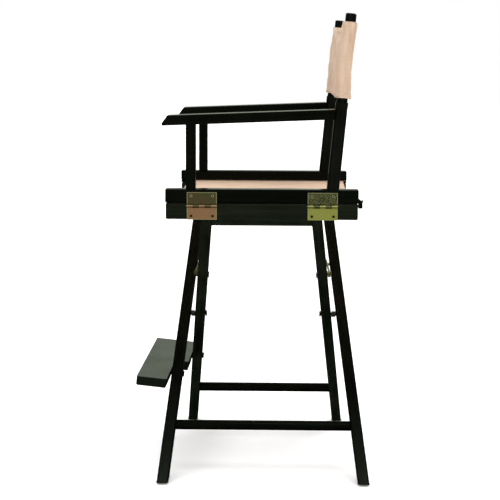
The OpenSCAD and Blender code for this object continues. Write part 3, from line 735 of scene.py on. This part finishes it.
def make_stick_loop(side, body, slot_x, slot_z, stick_x, stick_z, from_y, along):
    """The canvas's end, from the slot round the stick and back, hidden in the bore but for its ends."""
    turn = [math.radians(a) for a in range(-200, 21, 10)]
    outline = [(slot_x, slot_z)] + [
        (stick_x + STICK_LOOP_R * math.cos(a), stick_z + STICK_LOOP_R * math.sin(a)) for a in turn]
    across = [0.0]
    for a, b in zip(outline, outline[1:]):
        across.append(across[-1] + math.dist(a, b))
    points = [[Vector((side * x, from_y + y, z)) for y in along] for x, z in outline]
    name = "left_stick_loop" if side > 0 else "right_stick_loop"
    loop = cloth_grid(name, points, across, along, 0.0)
    smooth_shaded(loop.data, 80)
    solid = loop.modifiers.new("Cloth thickness", "SOLIDIFY")
    solid.thickness = DUCK * 0.9
    solid.offset = 0
    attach(loop, body)


def pole_frame():
    """The leaning frame of the back canvas, whose origin is between the poles at its lower edge."""
    low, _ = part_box("back_canvas")
    depth = low.y + CAD_SLEEVE_R * math.cos(POLE_LEAN)
    height = low.z + CAD_SLEEVE_R * math.sin(POLE_LEAN)
    return Matrix.Translation((0, depth, height)) @ Matrix.Rotation(-POLE_LEAN, 4, "X")


def make_back():
    """The back canvas: a panel between two sleeves, each sewn shut beside its pole."""
    lean = pole_frame()
    low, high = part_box("back_canvas")
    post_low, post_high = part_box("left_back_post")
    pole_x = (post_low.x + post_high.x) / 2
    tall = (high.z - low.z - 2 * CAD_SLEEVE_R * math.sin(POLE_LEAN)) / math.cos(POLE_LEAN)
    seam_x = pole_x - SEAM_FROM_POLE
    along = steps_with_hems(tall, BACK_HEM, BACK_ROWS)

    def panel_y(x):
        return -SLEEVE_R + BACK_SAG * max(0.0, 1 - (x / seam_x) ** 2)

    across, points = [], []
    for i in range(BACK_COLUMNS + 1):
        x = seam_x * (2 * i / BACK_COLUMNS - 1)
        across.append(x + seam_x)
        hold = 1 - (x / seam_x) ** 4
        points.append([
            lean @ Vector((x, panel_y(x) + BACK_RIPPLE * hold * wander(x, z * 0.25, 0.075, 7.3), z))
            for z in along
        ])
    panel = cloth_grid("back_panel", points, across, along, BACK_HEM)
    columns = len(along)
    ends = [i * columns + j for i in (0, BACK_COLUMNS) for j in range(columns)]
    settle(panel, ends, limit=BACK_DROP_LIMIT, slack=0.004)
    seams = stitches("back_hem_stitches", hem_rows(panel, along, BACK_HEM, HEM_THICK / 2))
    thicken(panel)
    for piece in (panel, seams):
        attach(piece, "left_arm")
        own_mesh(piece)
    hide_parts("back_canvas")
    for side, body in ((1, "left_arm"), (-1, "right_arm")):
        make_sleeve(side, body, lean, pole_x, seam_x, along)


def sleeve_outline(pole_x, seam_x):
    """The cloth's way round a pole, seen from above: along the front, round it, and back to the seam."""
    front = -SLEEVE_R
    meet = (seam_x + 2 * MM, front + 2.2 * MM)
    reach = Vector((meet[0] - pole_x, meet[1]))
    leave_angle = 2 * math.pi + math.atan2(reach.x, -reach.y) - math.acos(SLEEVE_R / reach.length)
    way = [
        (seam_x + (pole_x - seam_x) * i / SLEEVE_FRONT_STEPS, front)
        for i in range(SLEEVE_FRONT_STEPS)
    ]
    way += [
        (pole_x + SLEEVE_R * math.sin(a), -SLEEVE_R * math.cos(a))
        for a in (leave_angle * i / SLEEVE_TURN_STEPS for i in range(SLEEVE_TURN_STEPS + 1))
    ]
    leave = way[-1]
    for i in range(1, SLEEVE_BACK_STEPS + 1):
        t = i / SLEEVE_BACK_STEPS
        slack = 2.2 * MM * math.sin(math.pi * t)
        way.append((leave[0] + (meet[0] - leave[0]) * t, leave[1] + (meet[1] - leave[1]) * t + slack))
    way.append((seam_x - SEAM_LAP, front + 1.6 * MM))
    return way


def make_sleeve(side, body, lean, pole_x, seam_x, along):
    """One sleeve: the cloth folded round the pole, with its free edge sewn down behind the seam."""
    outline = sleeve_outline(pole_x, seam_x)
    across = [0.0]
    for a, b in zip(outline, outline[1:]):
        across.append(across[-1] + math.dist(a, b))
    tall = along[-1]
    points = []
    for (x, y), place in zip(outline, across):
        loose = min(1.0, place / FOLD_FADE) * min(1.0, (across[-1] - place) / FOLD_FADE)
        away = Vector((x - pole_x, y, 0)).normalized()
        row = []
        for z in along:
            fold = wander(place * 1.7, z * 0.3, 0.022, 1.7 + side)
            fold += 0.4 * wander(place, z, 0.018, 9.0 + side)
            crease = fold * (0.7 + 0.6 * (1 - z / tall))
            flare = FLARE_WIDE * math.exp(-z / FLARE_TALL)
            ragged = RAGGED * wander(place, 0, 0.02, 5.0 + side) if z in (along[0], along[-1]) else 0.0
            bulge = loose * (max(0.0, crease + 0.1) * FOLD_HIGH + flare)
            row.append(lean @ Vector((side * (x + away.x * bulge), y + away.y * bulge, z + ragged)))
        points.append(row)
    name = "left_back_sleeve" if side > 0 else "right_back_sleeve"
    sleeve = cloth_grid(name, points, across, along, BACK_HEM)
    seam_lines = hem_rows(sleeve, along, BACK_HEM, HEM_THICK / 2)
    seams = stitches(f"{name}_stitches", seam_lines)
    thicken(sleeve)
    for piece in (sleeve, seams):
        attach(piece, body)


# ---- Studio ----

def make_camera():
    """A long lens beside the chair, a little above the arms, looking slightly down."""
    place = Vector((3.0890, 0.0448, 0.8728))
    pitch, yaw, roll = (math.radians(a) for a in (7.67, 1.03, 0.25))
    ahead = Vector((-math.cos(pitch) * math.cos(yaw), -math.cos(pitch) * math.sin(yaw), -math.sin(pitch)))
    right = Vector((-math.sin(yaw), math.cos(yaw), 0))
    up = right.cross(ahead)
    right, up = right * math.cos(roll) + up * math.sin(roll), up * math.cos(roll) - right * math.sin(roll)
    data = bpy.data.cameras.new("camera")
    data.sensor_width = 36
    data.lens = 100.5
    camera = bpy.data.objects.new("camera", data)
    camera.matrix_world = Matrix.Translation(place) @ Matrix((right, up, -ahead)).transposed().to_4x4()
    bpy.context.scene.collection.objects.link(camera)
    bpy.context.scene.camera = camera


def soft_light(name, place, aim, size, power, only_glints=False):
    """A square soft box turned towards aim. With only_glints it shows in reflections but lights nothing."""
    data = bpy.data.lights.new(name, "AREA")
    data.shape = "SQUARE"
    data.size = size
    data.energy = power
    lamp = bpy.data.objects.new(name, data)
    lamp.visible_diffuse = not only_glints
    lamp.location = place
    lamp.rotation_euler = (Vector(aim) - Vector(place)).to_track_quat("-Z", "Y").to_euler()
    bpy.context.scene.collection.objects.link(lamp)


def make_studio():
    """A white floor and surround, with the darkness of the room behind the camera."""
    data = bpy.data.meshes.new("floor")
    mesh = bmesh.new()
    bmesh.ops.create_circle(mesh, cap_ends=True, segments=64, radius=24)
    mesh.to_mesh(data)
    mesh.free()
    floor = bpy.data.objects.new("floor", data)
    bpy.context.scene.collection.objects.link(floor)
    material, tree, shader = new_material(
        "white_floor", Roughness=0.95, Specular_IOR_Level=0.0, Emission_Strength=0.29)
    shader.inputs["Base Color"].default_value = (0.9, 0.9, 0.9, 1)
    shader.inputs["Emission Color"].default_value = (1, 1, 1, 1)
    data.materials.append(material)
    floor.visible_glossy = False

    overhead = bpy.data.lights.new("overhead", "SUN")
    overhead.energy = 3.45
    overhead.angle = math.radians(70)
    lamp = bpy.data.objects.new("overhead", overhead)
    lamp.visible_glossy = False
    bpy.context.scene.collection.objects.link(lamp)
    middle = (0, 0, 0.6)
    soft_light("key", (2.0, -2.2, 2.3), middle, 1.3, 8)
    soft_light("edge_light", (2.2, 0.2, 3.2), middle, 0.7, 9, only_glints=True)
    soft_light("rear_fill", (-1.8, 1.8, 2.2), middle, 1.6, 14)

    world = bpy.data.worlds.new("studio")
    bpy.context.scene.world = world
    world.use_nodes = True
    tree = world.node_tree
    tree.nodes.clear()
    way = add(tree, "ShaderNodeTexCoord").outputs["Generated"]
    toward_camera, _, upward = add(tree, "ShaderNodeSeparateXYZ", {0: way}).outputs
    backdrop = maths(
        tree, "MULTIPLY", spread_out(tree, toward_camera, -0.85, -0.1, 1.0, 0.07),
        spread_out(tree, upward, -0.12, 0.2, 0.06, 0.82))
    front_wall = spread_out(tree, toward_camera, 0.5, 0.95, 0.0, 0.37)
    reflected = maths(tree, "ADD", backdrop, front_wall)
    path = add(tree, "ShaderNodeLightPath").outputs
    lit = {0: path["Is Glossy Ray"], 2: 0.35, 3: reflected}
    ambient = add(tree, "ShaderNodeMix", lit, data_type="FLOAT").outputs[0]
    seen = {0: path["Is Camera Ray"], 2: ambient, 3: 1.0}
    strength = add(tree, "ShaderNodeMix", seen, data_type="FLOAT").outputs[0]
    tone = colour_mix(tree, path["Is Glossy Ray"], (1, 1, 1, 1), linear("#f4ffe8"))
    shade = add(tree, "ShaderNodeBackground", {"Color": tone, "Strength": strength})
    add(tree, "ShaderNodeOutputWorld", {"Surface": shade.outputs[0]})
    bpy.context.scene.view_settings.view_transform = "Standard"


make_camera()
make_studio()
make_woodwork()
make_hardware()
make_seat()
make_back()
